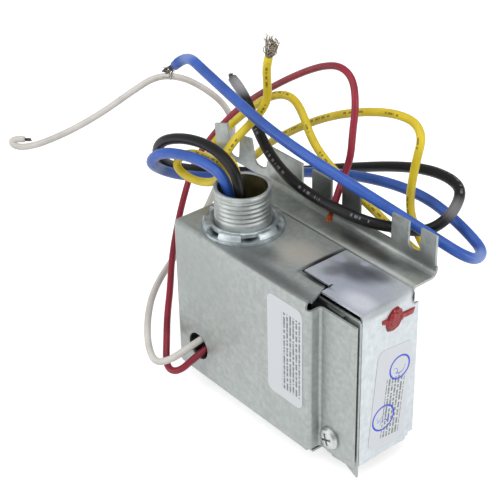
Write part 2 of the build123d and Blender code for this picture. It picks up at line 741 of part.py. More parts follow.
# bare ends: length and radius at the tip, as the strands spread
stripped = {
    "blue_lead": ("blue_strands", 7.0, 1.9),
    "black_lead": ("black_strands", 3.0, 1.2),
    "yellow_lead": ("yellow_strands", 9.5, 2.3),
    "yellow_arch_lead": ("yellow_arch_strands", 7.0, 1.3),
    "red_lead": ("red_strands", 5.0, 1.4),
    "white_lead": ("white_strands", 4.0, 0.9),
}


def make_lead(name):
    """Tube whose bends are as wide as the runs on both sides of each allow."""
    diameter, route = leads[name]
    points = [Vector(*p) for p in route]
    runs = [points[i + 1] - points[i] for i in range(len(points) - 1)]
    radii = []
    for a, b in zip(runs, runs[1:]):
        turn = math.radians(a.get_angle(b))
        radii.append(0.45 * min(a.length, b.length) / math.tan(turn / 2))
    path = FilletPolyline(*points, radius=radii)
    section_face = Plane(origin=points[0], z_dir=runs[0]) * RegularPolygon(
        prism_radius(diameter / 2), lead_sides)
    tube = sweep(section_face, path=path)
    section = math.pi * diameter ** 2 / 4
    print(f"{name}: length {path.length:.1f}, volume / (section x length) "
          f"{tube.volume / section / path.length:.4f}, smallest bend {min(radii):.1f}, radii "
          + " ".join(f"{r:.0f}" for r in radii))
    return tube


def make_strands(name):
    diameter, route = leads[name]
    node, length, tip = stripped[name]
    root = cores[diameter] / 2
    end, before = Vector(*route[-1]), Vector(*route[-2])
    seat = Plane(origin=end, z_dir=end - before)
    foot = seat * RegularPolygon(prism_radius(root), lead_sides)
    top = seat * Pos(0, 0, length) * RegularPolygon(prism_radius(tip), lead_sides)
    return loft([foot, top])


def make_terminal(name):
    """Brass tab on the relay base where a heavy lead ends."""
    x, y, z = leads[name][1][0]
    return box(x + 0.3, base_x, y - 2.2, y + 2.2, z - 2.2, z + 2.2)


# ================================================================ all pieces
save(make_cover(), "can_cover")
save(make_bracket(), "rear_bracket")
save(make_nipple(), "conduit_nipple")
save(make_locknut(), "locknut")
save(make_relay_housing(), "relay_housing")
save(make_front_plate(), "relay_front_plate")
save(make_cover_screw(), "cover_screw")
save(make_adjuster(), "adjusting_screw")
save(make_varnish(), "sealing_varnish")
save(make_front_label(), "front_label")
save(make_end_label(), "end_label")
save(make_core(), "transformer_core")
save(make_bobbin(), "transformer_bobbin")
save(make_winding(coil_y0 + 0.1, coil_middle - bobbin_wall / 2 - 0.1), "primary_winding")
save(make_winding(coil_middle + bobbin_wall / 2 + 0.1, coil_y1 - 0.1), "secondary_winding")
save(make_strap(), "transformer_strap")
save(make_relay_base(), "relay_base")
save(make_fixed_contact(), "fixed_contact")
save(make_block(blade_x, blade_pivot_z, 2.0, blade_width), "blade_block")
save(make_block(bimetal_x, bimetal_pivot_z, 3.0, bimetal_width), "bimetal_block")
save(make_blade(), "contact_blade")
save(make_moving_contact(), "moving_contact")
save(make_bimetal(), "bimetal_strip")
save(make_heater(), "heater_card")
save(make_pusher(), "pusher_pin")
for lead_name in leads:
    save(make_lead(lead_name), lead_name)
    save(make_strands(lead_name), stripped[lead_name][0])
for lead_name in ("blue_lead", "black_lead", "yellow_lead", "yellow_arch_lead"):
    save(make_terminal(lead_name), lead_name.replace("_lead", "") + "_terminal")
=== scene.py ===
import bpy
import bmesh
import math
import numpy as np
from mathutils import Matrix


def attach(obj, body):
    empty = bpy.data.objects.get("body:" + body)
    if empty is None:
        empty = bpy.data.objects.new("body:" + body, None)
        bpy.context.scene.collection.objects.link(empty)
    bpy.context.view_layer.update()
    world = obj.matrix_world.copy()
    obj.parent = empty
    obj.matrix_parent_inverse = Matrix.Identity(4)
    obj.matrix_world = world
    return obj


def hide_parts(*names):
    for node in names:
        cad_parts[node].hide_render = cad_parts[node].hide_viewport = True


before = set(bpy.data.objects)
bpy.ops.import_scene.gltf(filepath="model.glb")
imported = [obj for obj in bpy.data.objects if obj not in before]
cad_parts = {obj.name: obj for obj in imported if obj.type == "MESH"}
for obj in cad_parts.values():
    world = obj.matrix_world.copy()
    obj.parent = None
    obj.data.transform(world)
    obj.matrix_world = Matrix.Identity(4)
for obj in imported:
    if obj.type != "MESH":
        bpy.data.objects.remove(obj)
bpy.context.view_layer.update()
print("frame loaded:", len(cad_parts), "nodes")

mm = 0.001


def hexLinear(code):
    # sRGB hex to linear: each channel c becomes c/12.92 below 0.04045, else ((c+0.055)/1.055)^2.4
    rgb = [int(code[i:i + 2], 16) / 255 for i in (1, 3, 5)]
    return [c / 12.92 if c <= 0.04045 else ((c + 0.055) / 1.055) ** 2.4 for c in rgb] + [1.0]


def addNode(tree, kind, settings=None, links=None):
    # settings name node attributes or input sockets, links name input sockets and their source
    node = tree.nodes.new(kind)
    for key, value in (settings or {}).items():
        if isinstance(key, str) and hasattr(node, key):
            setattr(node, key, value)
        else:
            node.inputs[key].default_value = value
    for key, source in (links or {}).items():
        tree.links.new(source, node.inputs[key])
    return node


def newMaterial(name, look):
    # a material with an empty tree, its principled shader and its output
    material = bpy.data.materials.new(name)
    material.use_nodes = True
    tree = material.node_tree
    tree.nodes.clear()
    shader = addNode(tree, "ShaderNodeBsdfPrincipled", look)
    addNode(tree, "ShaderNodeOutputMaterial", links={"Surface": shader.outputs[0]})
    return material, tree, shader


def gridMesh(name, grid, capEnds=True, uvScale=None, smooth=True):
    # grid[i, j] is a point on row i, column j; the columns close round, the rows are open.
    # A face joins (i, j), (i, j+1), (i+1, j+1), (i+1, j); each end gets one cap.
    rows, cols = grid.shape[:2]
    i, j = np.meshgrid(np.arange(rows - 1), np.arange(cols), indexing="ij")
    k = (j + 1) % cols
    quads = np.stack([i * cols + j, i * cols + k, (i + 1) * cols + k, (i + 1) * cols + j], -1)
    faces = quads.reshape(-1, 4).tolist()
    if capEnds:
        faces.append(list(range(cols))[::-1])
        faces.append(list(range((rows - 1) * cols, rows * cols)))
    mesh = bpy.data.meshes.new(name)
    mesh.from_pydata(grid.reshape(-1, 3).tolist(), [], faces)
    if uvScale is not None:
        # u runs along the rows by uvScale's distances in metres, v goes once round
        u = np.stack([uvScale[i], uvScale[i], uvScale[i + 1], uvScale[i + 1]], -1)
        v = np.stack([j, j + 1, j + 1, j], -1) / cols
        uv = np.zeros((len(mesh.loops), 2))
        uv[:u.size, 0] = u.reshape(-1)
        uv[:v.size, 1] = v.reshape(-1)
        mesh.uv_layers.new(name="alongLead").data.foreach_set("uv", uv.reshape(-1))
    mesh.polygons.foreach_set("use_smooth", [smooth] * len(mesh.polygons))
    mesh.update()
    return mesh


def addPiece(name, mesh, material, body, replaced=()):
    # a mesh becomes a piece with its material that rides on a body and may stand for CAD nodes
    piece = bpy.data.objects.new(name, mesh)
    bpy.context.scene.collection.objects.link(piece)
    piece.data.materials.append(material)
    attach(piece, body)
    if replaced:
        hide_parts(*replaced)
    return piece


def turningFrames(path):
    # tangent of each sample and two normals that turn as little as they can along the path
    tangent = np.gradient(path, axis=0)
    tangent /= np.linalg.norm(tangent, axis=1, keepdims=True)
    side = np.zeros_like(path)
    start = np.cross(tangent[0], [0.31, 0.87, 0.38])
    side[0] = start / np.linalg.norm(start)
    for n in range(1, len(path)):
        along = side[n - 1] - tangent[n] * (side[n - 1] @ tangent[n])
        side[n] = along / np.linalg.norm(along)
    return tangent, side, np.cross(tangent, side)


def tubeGrid(path, radius, sides):
    # ring n is path[n] + radius[n] * (cos a * side + sin a * up)
    tangent, side, up = turningFrames(path)
    a = np.linspace(0, 2 * np.pi, sides, endpoint=False)
    ring = np.cos(a)[None, :, None] * side[:, None] + np.sin(a)[None, :, None] * up[:, None]
    return path[:, None] + ring * np.asarray(radius)[:, None, None]


# vertices nearer than mergeReach merge, folds flatter than flatFold go, steeper ones than
# sharpFold are edges
mergeReach = 0.02 * mm
flatFold = math.radians(1.0)
sharpFold = math.radians(32)


def softCopy(node, body, material, width):
    # copy of a rigid node with its sharp edges broken by a narrow bevel of the stated width in mm
    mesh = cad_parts[node].data.copy()
    work = bmesh.new()
    work.from_mesh(mesh)
    bmesh.ops.remove_doubles(work, verts=work.verts, dist=mergeReach)
    bmesh.ops.dissolve_limit(work, angle_limit=flatFold, verts=work.verts, edges=work.edges)
    work.to_mesh(mesh)
    work.free()
    mesh.materials.clear()
    piece = addPiece(node + "Finished", mesh, material, body, [node])
    mesh.polygons.foreach_set("use_smooth", [True] * len(mesh.polygons))
    mesh.set_sharp_from_angle(angle=sharpFold)
    edge = piece.modifiers.new("brokenEdge", "BEVEL")
    edge.width = width * mm
    edge.segments = 2
    edge.limit_method = "ANGLE"
    edge.angle_limit = sharpFold
    return piece


# cloud is the size of the clouding in mm, drawn the stretch of the rolling streaks; patches hold
# centre and reach in mm, colour and its share in the middle; they are painted light: painted
# reflections, pale and dark, painted highlights on bends, and painted shade in the seams, recesses
# and openings
sheetLooks = {
    "coverSheet": {
        "light": "#B1B7B5", "dark": "#9FA5A3", "speck": "#A2A79F", "cloud": 2.0,
        "drawn": (1.0, 1.0, 0.06), "metallic": 0.62, "rough": (0.38, 0.50),
        "patches": [((-14.0, -17.6, -16.0), (46.0, 4.0, 26.0), "#989E9B", 0.55),
                    ((28.0, 3.0, 0.0), (15.0, 11.0, 2.2), "#CDC8BF", 0.8),
                    ((16.0, -7.0, 0.0), (15.0, 7.5, 1.6), "#56595A", 0.7),
                    ((30.0, -14.5, 0.0), (46.0, 6.0, 1.3), "#66696A", 0.8),
                    ((36.6, 6.0, 0.3), (1.7, 16.0, 1.6), "#1E2022", 0.95),
                    ((45.0, -5.3, 0.3), (11.0, 1.6, 1.6), "#1E2022", 0.95),
                    ((50.5, -10.5, -2.6), (4.5, 3.2, 2.6), "#1E2022", 0.85),
                    ((16.0, 17.2, 0.2), (60.0, 0.9, 2.0), "#26282A", 0.95)],
    },
    "bracketSheet": {
        "light": "#B6BBB8", "dark": "#9DA3A0", "speck": "#B4B2A0", "cloud": 3.0,
        "drawn": (0.06, 1.0, 1.0), "metallic": 0.72, "rough": (0.34, 0.48),
        "patches": [((26.0, 28.0, 9.0), (32.0, 6.0, 14.0), "#4C5150", 0.85),
                    ((42.0, 23.0, 0.5), (30.0, 4.6, 4.0), "#454441", 0.85),
                    ((62.0, 27.0, 3.0), (14.0, 7.0, 8.0), "#5E6264", 0.7),
                    ((54.0, 18.7, 0.4), (34.0, 1.5, 1.6), "#D3D7D4", 0.85),
                    ((20.0, 17.2, -0.4), (62.0, 0.75, 2.6), "#1E2022", 0.97)],
    },
    "frameSheet": {
        "light": "#D3D9DD", "dark": "#C2C9CD", "speck": "#C6C8C4", "cloud": 2.5,
        "drawn": (1.0, 1.0, 0.06), "metallic": 0.60, "rough": (0.30, 0.42),
        "patches": [((60.0, 1.0, 0.3), (27.0, 19.0, 2.0), "#BCC3D1", 0.9),
                    ((65.0, -3.0, 0.3), (12.0, 6.5, 2.0), "#EBF0FA", 0.9),
                    ((50.5, 9.0, 0.3), (14.0, 8.0, 2.0), "#44464A", 0.75),
                    ((57.5, 13.0, 0.3), (9.0, 5.0, 2.0), "#3A3B40", 0.6),
                    ((44.5, 3.0, 0.3), (5.5, 5.0, 2.0), "#6A6A70", 0.6),
                    ((41.0, 10.5, 0.3), (4.0, 3.0, 2.0), "#D3D6E6", 0.7),
                    ((49.0, 14.6, 0.3), (2.6, 1.8, 2.0), "#D9DCEC", 0.7),
                    ((36.9, 6.0, 0.3), (1.5, 16.0, 2.0), "#1E2022", 0.95),
                    ((45.0, -4.9, 0.3), (11.0, 1.4, 2.0), "#1E2022", 0.95),
                    ((71.6, 1.0, -1.2), (2.4, 18.0, 2.6), "#9CA2A4", 0.8),
                    ((72.0, 16.2, -2.4), (3.0, 2.2, 3.8), "#0C0D0F", 1.0)],
    },
    "frontPlateSheet": {
        "light": "#B1B7B5", "dark": "#9DA4A2", "speck": "#A8AAA0", "cloud": 2.0,
        "drawn": (1.0, 1.0, 0.06), "metallic": 0.62, "rough": (0.36, 0.48),
        "patches": [((60.0, -9.0, -64.0), (14.0, 6.0, 9.0), "#8C9291", 0.45),
                    ((57.0, -9.3, -3.0), (17.0, 4.0, 3.0), "#202224", 0.85),
                    ((60.0, -10.2, -4.4), (2.6, 1.6, 1.3), "#B4BAB8", 0.8)],
    },
}


# sizes in mm of the fine streaks, the dull specks and the relief all sheets share
sheetGrain = {"streak": 0.8, "fleck": 2.2, "relief": 0.01}
# a patch keeps its full share up to this part of its reach
patchCore = 0.25


def paintLightPatches(tree, place, colour, patches):
    # each patch mixes its colour in as painted light and shade, full in the middle, gone at its
    # reach
    for centre, reach, tint, share in patches:
        # the distance from the centre is counted in reaches, so the tint ends at 1
        scale = [1 / (r * mm) for r in reach]
        shift = [-c / r for c, r in zip(centre, reach)]
        near = addNode(tree, "ShaderNodeMapping", {"Scale": scale, "Location": shift},
                       {"Vector": place})
        away = addNode(tree, "ShaderNodeVectorMath", {"operation": "LENGTH"}, {0: near.outputs[0]})
        amount = addNode(tree, "ShaderNodeMapRange",
                         {"interpolation_type": "SMOOTHSTEP", 1: patchCore, 2: 1.0, 3: share,
                          4: 0.0},
                         {0: away.outputs["Value"]})
        colour = addNode(tree, "ShaderNodeMix", {"data_type": "RGBA", 7: hexLinear(tint)},
                         {0: amount.outputs[0], 6: colour}).outputs[2]
    return colour


def zincSheet(name):
    # dip-coated sheet steel: satin zinc with faint vertical rolling streaks and small dull specks,
    # and patches of painted reflection, painted highlight and painted shade
    s, g = sheetLooks[name], sheetGrain
    material, tree, shader = newMaterial(name, {"Metallic": s["metallic"]})
    place = addNode(tree, "ShaderNodeTexCoord").outputs["Object"]
    cloud = addNode(tree, "ShaderNodeTexNoise",
                    {"Scale": 1 / (s["cloud"] * mm), "Detail": 3.0, "Roughness": 0.5},
                    {"Vector": place})
    drawn = addNode(tree, "ShaderNodeMapping", {"Scale": s["drawn"]}, {"Vector": place})
    streak = addNode(tree, "ShaderNodeTexNoise", {"Scale": 1 / (g["streak"] * mm), "Detail": 3.0},
                     {"Vector": drawn.outputs[0]})
    fleck = addNode(tree, "ShaderNodeTexNoise", {"Scale": 1 / (g["fleck"] * mm), "Detail": 2.0},
                    {"Vector": place})
    soft = addNode(tree, "ShaderNodeMapRange", {1: 0.3, 2: 0.7}, {0: cloud.outputs[0]})
    colour = addNode(tree, "ShaderNodeMix", {"data_type": "RGBA", 6: hexLinear(s["dark"]),
                                             7: hexLinear(s["light"])},
                     {0: soft.outputs[0]}).outputs[2]
    dull = addNode(tree, "ShaderNodeMapRange", {1: 0.62, 2: 0.74, 3: 0.0, 4: 0.6},
                   {0: fleck.outputs[0]})
    colour = addNode(tree, "ShaderNodeMix", {"data_type": "RGBA", 7: hexLinear(s["speck"])},
                     {0: dull.outputs[0], 6: colour}).outputs[2]
    colour = paintLightPatches(tree, place, colour, s["patches"])
    tone = addNode(tree, "ShaderNodeMapRange", {1: 0.3, 2: 0.7, 3: 0.95, 4: 1.04},
                   {0: streak.outputs[0]})
    toned = addNode(tree, "ShaderNodeVectorMath", {"operation": "SCALE"},
                    {0: colour, 3: tone.outputs[0]})
    rough = addNode(tree, "ShaderNodeMapRange", {1: 0.3, 2: 0.7, 3: s["rough"][0],
                                                 4: s["rough"][1]}, {0: streak.outputs[0]})
    bump = addNode(tree, "ShaderNodeBump", {"Strength": 0.2, "Distance": g["relief"] * mm},
                   {"Height": streak.outputs[0]})
    tree.links.new(toned.outputs[0], shader.inputs["Base Color"])
    tree.links.new(rough.outputs[0], shader.inputs["Roughness"])
    tree.links.new(bump.outputs[0], shader.inputs["Normal"])
    return material


# painted shade darkens the locknut's slots under its recessed tongues: one patch each, on a circle
# in mm
slotRing = {"count": 6, "first": 30, "radius": 12.7, "height": 1.55}
nutSlotShade = []
for n in range(slotRing["count"]):
    turn = math.radians(slotRing["first"] + 360 / slotRing["count"] * n)
    middle = (slotRing["radius"] * math.cos(turn), slotRing["radius"] * math.sin(turn),
              slotRing["height"])
    nutSlotShade.append((middle, (3.6, 3.6, 0.8), "#0E1012", 0.97))

# light and dark tone, roughness, cloud and grain sizes in mm, patches as for the sheets; the
# thread's patch is a painted highlight on the nipple's rim, the locknut's are painted shade
zincLooks = {
    "threadZinc": {"hex": "#BCC1BF", "shade": "#949A98", "rough": (0.42, 0.55),
                   "cloud": 7.0, "grain": 0.9,
                   "patches": [((0.0, 0.0, 16.9), (12.0, 12.0, 1.2), "#E6E8F0", 0.95)]},
    # darker and olive: painted shade inside the nipple's bore
    "shadedBoreZinc": {"hex": "#77745C", "shade": "#56543F", "rough": (0.42, 0.55),
                 "cloud": 5.0, "grain": 0.9, "patches": []},
    "stampedZinc": {"hex": "#C2CBCE", "shade": "#8B9497", "rough": (0.36, 0.48),
                    "cloud": 5.0, "grain": 0.9, "patches": nutSlotShade},
    "screwZinc": {"hex": "#CFD2D1", "shade": "#B2B6B5", "rough": (0.26, 0.38),
                  "cloud": 3.0, "grain": 0.5, "patches": []},
}


def platedZinc(name):
    # electroplated zinc: brighter and smoother than dipped sheet, with soft clouding and patches
    # of painted highlight and painted shade
    s = zincLooks[name]
    material, tree, shader = newMaterial(name, {"Metallic": 0.85})
    place = addNode(tree, "ShaderNodeTexCoord").outputs["Object"]
    cloud = addNode(tree, "ShaderNodeTexNoise", {"Scale": 1 / (s["cloud"] * mm), "Detail": 3.0},
                    {"Vector": place})
    grain = addNode(tree, "ShaderNodeTexNoise", {"Scale": 1 / (s["grain"] * mm), "Detail": 2.0},
                    {"Vector": place})
    spread = addNode(tree, "ShaderNodeMapRange", {1: 0.32, 2: 0.62}, {0: cloud.outputs[0]})
    base = addNode(tree, "ShaderNodeMix", {"data_type": "RGBA", 6: hexLinear(s["shade"]),
                                           7: hexLinear(s["hex"])}, {0: spread.outputs[0]})
    rough = addNode(tree, "ShaderNodeMapRange", {1: 0.3, 2: 0.7, 3: s["rough"][0],
                                                 4: s["rough"][1]}, {0: cloud.outputs[0]})
    bump = addNode(tree, "ShaderNodeBump", {"Strength": 0.12, "Distance": 0.01 * mm},
                   {"Height": grain.outputs[0]})
    colour = paintLightPatches(tree, place, base.outputs[2], s["patches"])
    tree.links.new(colour, shader.inputs["Base Color"])
    tree.links.new(rough.outputs[0], shader.inputs["Roughness"])
    tree.links.new(bump.outputs[0], shader.inputs["Normal"])
    return material


# hex and shade are two close tones; print is the colour of the marks, rows their number round
# the lead, turn the place of the first row in turns, cover the noise level that inks a letter;
# the painted highlights are paler stretches where light catches the skin, each a patch
vinylLooks = {
    "blueVinyl": {"hex": "#2C5AB4", "shade": "#254E9F", "rough": 0.38, "gloss": 0.5, "print": None,
                  "paintedHighlights": [((-49.5, -3.0, 6.0), (5.0, 7.0, 6.0), "#A9BCE0", 0.6),
                            ((-57.0, 21.0, 42.0), (7.0, 5.0, 5.0), "#9DB0E0", 0.55),
                            ((71.0, 48.5, -1.0), (6.0, 7.0, 5.0), "#8FA6D6", 0.6)]},
    "blackVinyl": {"hex": "#08080A", "shade": "#050506", "rough": 0.40, "gloss": 0.28,
                   "print": "#77757A", "rows": 1, "turn": 0.69, "cover": 0.52,
                   "paintedHighlights": [((-41.5, 32.8, 30.5), (9.0, 6.0, 7.5), "#A5A3A8", 0.85),
                             ((56.2, 51.5, 11.2), (6.0, 7.0, 6.0), "#8B898C", 0.6)]},
    "yellowVinyl": {"hex": "#E0C826", "shade": "#D0B51A", "rough": 0.40, "gloss": 0.45,
                    "print": "#3C3210", "rows": 2, "turn": 0.42, "cover": 0.47, "paintedHighlights": []},
    "redVinyl": {"hex": "#93142F", "shade": "#7C0D24", "rough": 0.42, "gloss": 0.45, "print": None,
                 "paintedHighlights": []},
    "whiteVinyl": {"hex": "#D3CFCA", "shade": "#C2BEB8", "rough": 0.40, "gloss": 0.45,
                   "print": None, "paintedHighlights": []},
}
# letter and word in mm, gate the noise level that starts a word, band the letters' height in turns
leadPrint = {"letter": 1.5, "word": 19.0, "gate": 0.52, "band": 0.085, "strength": 0.7}
vinylCloud = 9.0


def extrudedVinyl(name):
    # extruded PVC over stranded wire: satin skin in soft clouds with painted highlights, marks
    # printed in rows along it
    s = vinylLooks[name]
    material, tree, shader = newMaterial(name, {"IOR": 1.53, "Roughness": s["rough"],
                                                 "Specular IOR Level": s["gloss"]})
    coords = addNode(tree, "ShaderNodeTexCoord")
    cloud = addNode(tree, "ShaderNodeTexNoise", {"Scale": 1 / (vinylCloud * mm), "Detail": 2.0},
                    {"Vector": coords.outputs["Object"]})
    soft = addNode(tree, "ShaderNodeMapRange", {1: 0.3, 2: 0.6}, {0: cloud.outputs[0]})
    colour = addNode(tree, "ShaderNodeMix", {"data_type": "RGBA", 6: hexLinear(s["shade"]),
                                             7: hexLinear(s["hex"])},
                     {0: soft.outputs[0]}).outputs[2]
    # painted highlights: paler stretches where light catches the glossy skin
    colour = paintLightPatches(tree, coords.outputs["Object"], colour, s["paintedHighlights"])
    if s["print"]:
        p = leadPrint
        split = addNode(tree, "ShaderNodeSeparateXYZ", links={0: coords.outputs["UV"]})
        along, aroundLead = split.outputs[0], split.outputs[1]
        letters = addNode(tree, "ShaderNodeTexNoise",
                          {"noise_dimensions": "1D", "Scale": 1 / (p["letter"] * mm),
                           "Detail": 1.0}, {"W": along})
        words = addNode(tree, "ShaderNodeTexNoise",
                        {"noise_dimensions": "1D", "Scale": 1 / (p["word"] * mm), "Detail": 0.0},
                        {"W": along})
        # rows * (aroundLead - turn) + 0.5, wrapped to 0..1, is 0.5 in the middle of a row; 2 more
        # keep it positive
        spread = addNode(tree, "ShaderNodeMath", {"operation": "MULTIPLY_ADD", 1: s["rows"],
                                                  2: 2.5 - s["turn"] * s["rows"]}, {0: aroundLead})
        wrapped = addNode(tree, "ShaderNodeMath", {"operation": "FRACT"}, {0: spread.outputs[0]})
        row = addNode(tree, "ShaderNodeMath", {"operation": "COMPARE", 1: 0.5,
                                               2: p["band"] / 2 * s["rows"]},
                      {0: wrapped.outputs[0]})
        inked = addNode(tree, "ShaderNodeMath", {"operation": "GREATER_THAN", 1: s["cover"]},
                        {0: letters.outputs[0]})
        spoken = addNode(tree, "ShaderNodeMath", {"operation": "GREATER_THAN", 1: p["gate"]},
                         {0: words.outputs[0]})
        both = addNode(tree, "ShaderNodeMath", {"operation": "MULTIPLY"},
                       {0: inked.outputs[0], 1: spoken.outputs[0]})
        mark = addNode(tree, "ShaderNodeMath", {"operation": "MULTIPLY"},
                       {0: both.outputs[0], 1: row.outputs[0]})
        faint = addNode(tree, "ShaderNodeMath", {"operation": "MULTIPLY", 1: p["strength"]},
                        {0: mark.outputs[0]})
        colour = addNode(tree, "ShaderNodeMix", {"data_type": "RGBA", 7: hexLinear(s["print"])},
                         {0: faint.outputs[0], 6: colour}).outputs[2]
    bump = addNode(tree, "ShaderNodeBump", {"Strength": 0.15, "Distance": 0.05 * mm},
                   {"Height": cloud.outputs[0]})
    tree.links.new(colour, shader.inputs["Base Color"])
    tree.links.new(bump.outputs[0], shader.inputs["Normal"])
    return material


# in metres unless noted: turn in degrees about middle; lines and span are the printed field's
# limits along the across axis and in height; pitch in mm; rings hold (across, height) and radius
labelLooks = {
    "frontLabelPaper": {
        "turn": 0.0, "middle": (0.0, 0.0, 0.0),
        "across": 0, "lines": (0.0408, 0.0504), "pitch": 1.6, "span": (-0.0425, -0.0095),
        "rings": [],
    },
    "endLabelPaper": {
        "turn": 5.5, "middle": (0.0, 0.0065, -0.0400),
        "across": 1, "lines": (0.0034, 0.0124), "pitch": 1.5, "span": (-0.0575, -0.0325),
        "rings": [((0.0092, -0.0290), 0.0047), ((0.0038, -0.0485), 0.0051)],
    },
}
# word, penWidth and scrawl in mm; bar is a line's share of the pitch, jump the noise distance
# between lines, gate the noise level that inks; a scrawl fills scrawlReach of its ring's radius
labelInk = {"paper": "#D6DADE", "ink": "#3A3C40", "pen": "#4450D0", "word": 1.1, "bar": 0.56,
            "jump": 0.37, "gate": 0.44, "strength": 0.72, "penWidth": 0.75, "scrawl": 3.4,
            "scrawlWidth": 0.022, "scrawlReach": 0.62}


def labelPaper(name):
    # matt coated paper with rows of tiny unreadable marks, and inspection rings in ballpoint blue
    s, k = labelLooks[name], labelInk
    material, tree, shader = newMaterial(name, {"Roughness": 0.55, "IOR": 1.5})
    straight = addNode(tree, "ShaderNodeTexCoord").outputs["Object"]
    # the print turns about X with the askew label
    place = addNode(tree, "ShaderNodeVectorRotate",
                    {"rotation_type": "X_AXIS", "Center": s["middle"],
                     "Angle": math.radians(s["turn"])}, {"Vector": straight}).outputs[0]
    split = addNode(tree, "ShaderNodeSeparateXYZ", links={0: place})
    across, down = split.outputs[s["across"]], split.outputs[2]
    column = addNode(tree, "ShaderNodeMath", {"operation": "DIVIDE", 1: s["pitch"] * mm},
                     {0: across})
    whole = addNode(tree, "ShaderNodeMath", {"operation": "FLOOR"}, {0: column.outputs[0]})
    part = addNode(tree, "ShaderNodeMath", {"operation": "FRACT"}, {0: column.outputs[0]})
    bar = addNode(tree, "ShaderNodeMath", {"operation": "LESS_THAN", 1: k["bar"]},
                  {0: part.outputs[0]})
    shift = addNode(tree, "ShaderNodeMath", {"operation": "MULTIPLY", 1: k["jump"]},
                    {0: whole.outputs[0]})
    run = addNode(tree, "ShaderNodeMath", {"operation": "ADD"},
                  {0: down, 1: shift.outputs[0]})
    words = addNode(tree, "ShaderNodeTexNoise", {"noise_dimensions": "1D",
                                                 "Scale": 1 / (k["word"] * mm), "Detail": 2.0},
                    {"W": run.outputs[0]})
    inked = addNode(tree, "ShaderNodeMath", {"operation": "GREATER_THAN", 1: k["gate"]},
                    {0: words.outputs[0]})
    mask = addNode(tree, "ShaderNodeMath", {"operation": "MULTIPLY"},
                   {0: bar.outputs[0], 1: inked.outputs[0]})
    limits = [(across, "GREATER_THAN", s["lines"][0]), (across, "LESS_THAN", s["lines"][1]),
              (down, "GREATER_THAN", s["span"][0]), (down, "LESS_THAN", s["span"][1])]
    for source, test, value in limits:
        inside = addNode(tree, "ShaderNodeMath", {"operation": test, 1: value}, {0: source})
        mask = addNode(tree, "ShaderNodeMath", {"operation": "MULTIPLY"},
                       {0: mask.outputs[0], 1: inside.outputs[0]})
    faint = addNode(tree, "ShaderNodeMath", {"operation": "MULTIPLY", 1: k["strength"]},
                    {0: mask.outputs[0]})
    colour = addNode(tree, "ShaderNodeMix", {"data_type": "RGBA", 6: hexLinear(k["paper"]),
                                             7: hexLinear(k["ink"])}, {0: faint.outputs[0]})
    for centre, radius in s["rings"]:
        ringCentre = [0.0, 0.0, centre[1]]
        ringCentre[s["across"]] = centre[0]
        flat = addNode(tree, "ShaderNodeVectorMath", {"operation": "MULTIPLY", 1: (0, 1, 1)},
                       {0: place})
        away = addNode(tree, "ShaderNodeVectorMath", {"operation": "DISTANCE", 1: ringCentre},
                       {0: flat.outputs[0]})
        ring = addNode(tree, "ShaderNodeMath", {"operation": "COMPARE", 1: radius,
                                                2: k["penWidth"] / 2 * mm},
                       {0: away.outputs["Value"]})
        # a scrawl of pen strokes inside: the level lines of a coarse noise
        scrawl = addNode(tree, "ShaderNodeTexNoise",
                         {"Scale": 1 / (k["scrawl"] * mm), "Detail": 0.0}, {"Vector": place})
        stroke = addNode(tree, "ShaderNodeMath", {"operation": "COMPARE", 1: 0.5,
                                                  2: k["scrawlWidth"]}, {0: scrawl.outputs[0]})
        within = addNode(tree, "ShaderNodeMath",
                         {"operation": "LESS_THAN", 1: radius * k["scrawlReach"]},
                         {0: away.outputs["Value"]})
        drawn = addNode(tree, "ShaderNodeMath", {"operation": "MULTIPLY"},
                        {0: stroke.outputs[0], 1: within.outputs[0]})
        penned = addNode(tree, "ShaderNodeMath", {"operation": "MAXIMUM"},
                         {0: ring.outputs[0], 1: drawn.outputs[0]})
        colour = addNode(tree, "ShaderNodeMix", {"data_type": "RGBA", 7: hexLinear(k["pen"])},
                         {0: penned.outputs[0], 6: colour.outputs[2]})
    tree.links.new(colour.outputs[2], shader.inputs["Base Color"])
    return material


# base, second tone, metallic, roughness, pattern size in mm, bump depth in mm
plainLooks = {
    "sealingVarnish": ("#A00C17", "#78060F", 0.0, 0.14, 3.0, 0.10),
    "tinnedCopper": ("#B9B09E", "#837864", 0.75, 0.36, 0.8, 0.01),
    "darkStrands": ("#6E635B", "#383230", 0.75, 0.42, 0.8, 0.01),
    "bareCopper": ("#D2703A", "#A34E22", 0.75, 0.36, 0.8, 0.01),
    "siliconSteel": ("#4A4B50", "#2F3034", 0.7, 0.45, 0.5, 0.03),
    "mouldedNylon": ("#E2DCCB", "#D2CAB6", 0.0, 0.5, 6.0, 0.01),
    "woundWire": ("#A4562B", "#6E3415", 0.6, 0.35, 0.6, 0.10),
    "mouldedPhenolic": ("#2C2422", "#1D1716", 0.0, 0.55, 5.0, 0.01),
    "stampedBrass": ("#C9A452", "#A9853A", 0.9, 0.30, 4.0, 0.01),
    "springBronze": ("#B97F4C", "#99643A", 0.9, 0.30, 4.0, 0.01),
    "silverContact": ("#DADAD8", "#BDBDBB", 0.95, 0.20, 2.0, 0.005),
    "rolledBimetal": ("#9A958C", "#7E7A72", 0.9, 0.35, 3.0, 0.01),
    "micaCard": ("#C9BC9C", "#A99B7A", 0.1, 0.45, 1.2, 0.04),
    "steatite": ("#EDEAE0", "#DDD9CD", 0.0, 0.35, 3.0, 0.005),
}


